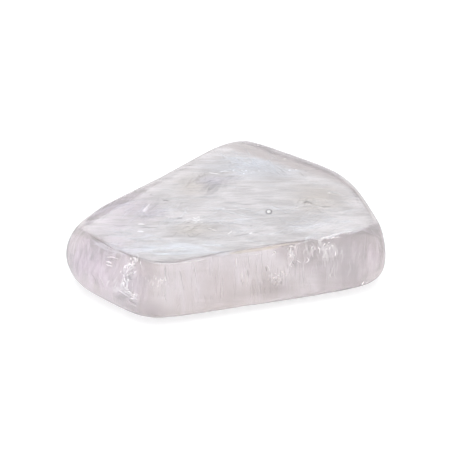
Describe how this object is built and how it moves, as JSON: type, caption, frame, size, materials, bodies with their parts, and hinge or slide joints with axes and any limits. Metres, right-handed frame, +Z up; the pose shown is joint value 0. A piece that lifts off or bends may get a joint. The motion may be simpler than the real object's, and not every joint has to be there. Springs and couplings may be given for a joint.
{
  "type": "tumbled clear quartz",
  "caption": "Loose polished slab of clear quartz with worn edges, a flat top, a flat front face and a small flat resting spot.",
  "frame": {"origin": "middle of the stone's outline, on the surface that it rests on", "axes": "+X along the stone's long side, away from its narrow end; -Y towards the flat front face; +Z up, out of the broad top face"},
  "size_m": [0.0413, 0.0334, 0.0099],
  "materials": {
    "clear_quartz": "polished"
  },
  "bodies": {
    "root": {"quartz_stone": "clear_quartz"}
  },
  "joints": []
}
